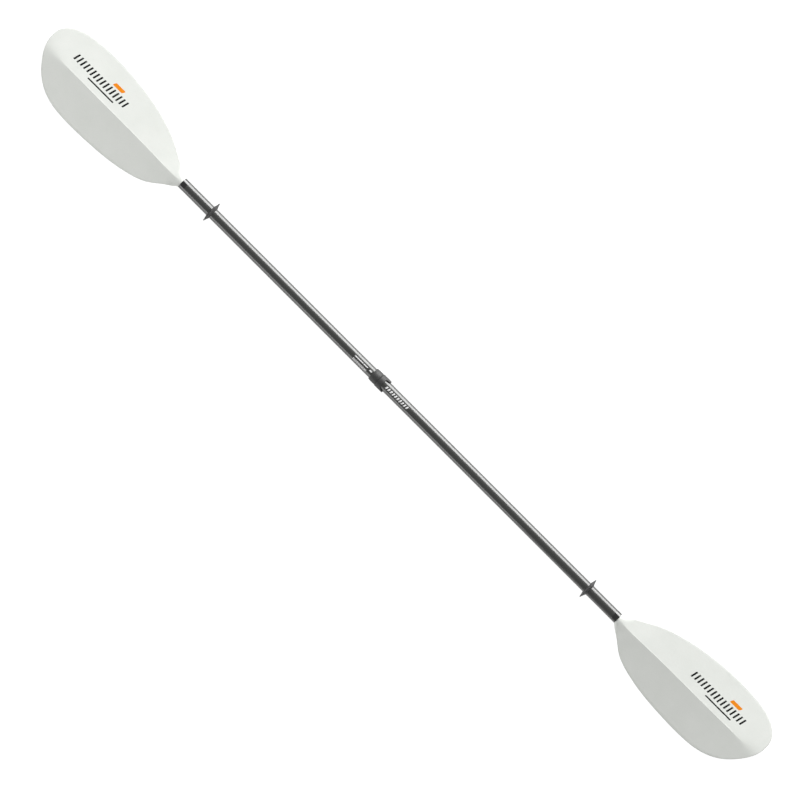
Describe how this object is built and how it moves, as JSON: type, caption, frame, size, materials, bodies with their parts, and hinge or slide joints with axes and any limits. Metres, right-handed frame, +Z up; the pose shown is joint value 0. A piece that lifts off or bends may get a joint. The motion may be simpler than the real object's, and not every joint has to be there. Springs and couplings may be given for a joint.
{
  "type": "two-piece kayak paddle",
  "caption": "Two-piece kayak paddle: spooned dihedral blades, tubular shaft, push-button feathering ferrule and sliding rubber drip rings.",
  "frame": {"origin": "on the surface that the paddle lies on, power face up, under the middle of its length and width", "axes": "+X along the shaft from the left blade to the right blade, +Y towards the blades' long edges, +Z up out of the power faces"},
  "size_m": [2.4, 0.1934, 0.056],
  "materials": {
    "blade_nylon": "moulded glass-filled nylon, satin",
    "shaft_composite": "carbon-blend tube under clear resin, glossy",
    "band_resin": "dark bonding band, glossy",
    "collar_plastic": "moulded, fine texture, satin",
    "ferrule_plastic": "moulded, smooth",
    "drip_ring_rubber": "soft matte rubber",
    "spring_steel": "stainless, brushed",
    "foam": "closed-cell foam",
    "print_black": "printed mark",
    "print_orange": "printed mark",
    "print_white": "printed mark"
  },
  "bodies": {
    "left_half": {"blade_left": "blade_nylon", "shaft_left": "shaft_composite", "end_band_left": "band_resin", "foam_plug_left": "foam", "tenon": "ferrule_plastic", "tenon_cap": "ferrule_plastic", "index_ring": "ferrule_plastic", "retaining_ring": "spring_steel", "spring_washer": "spring_steel", "button_spring": "spring_steel"},
    "feather_collar": {"feather_collar": "collar_plastic", "click_spring": "spring_steel"},
    "right_half": {"socket_collar": "collar_plastic", "shaft_right": "shaft_composite", "end_band_right": "band_resin", "foam_plug_right": "foam", "blade_right": "blade_nylon"},
    "lock_button": {"lock_button": "spring_steel"},
    "drip_ring_left": {"drip_ring_left": "drip_ring_rubber"},
    "drip_ring_right": {"drip_ring_right": "drip_ring_rubber"}
  },
  "joints": [
    {"name": "feather_turn", "type": "hinge", "parent": "left_half", "child": "feather_collar", "pos_m": [-0.082, 0, 0.028], "axis": [1, 0, 0], "range_deg": [-60, 60], "deforming": ["click_spring"]},
    {"name": "pull_apart", "type": "slide", "parent": "feather_collar", "child": "right_half", "axis": [1, 0, 0], "range_m": [0, 0.16]},
    {"name": "button_press", "type": "slide", "parent": "left_half", "child": "lock_button", "axis": [0, 0, 1], "range_m": [0, 0.0066], "stiffness_N_per_m": 1500, "springref_m": -0.002, "deforming": ["button_spring"]},
    {"name": "left_ring_slide", "type": "slide", "parent": "left_half", "child": "drip_ring_left", "axis": [1, 0, 0], "range_m": [-0.08, 0.1]},
    {"name": "right_ring_slide", "type": "slide", "parent": "right_half", "child": "drip_ring_right", "axis": [1, 0, 0], "range_m": [-0.1, 0.08]}
  ]
}
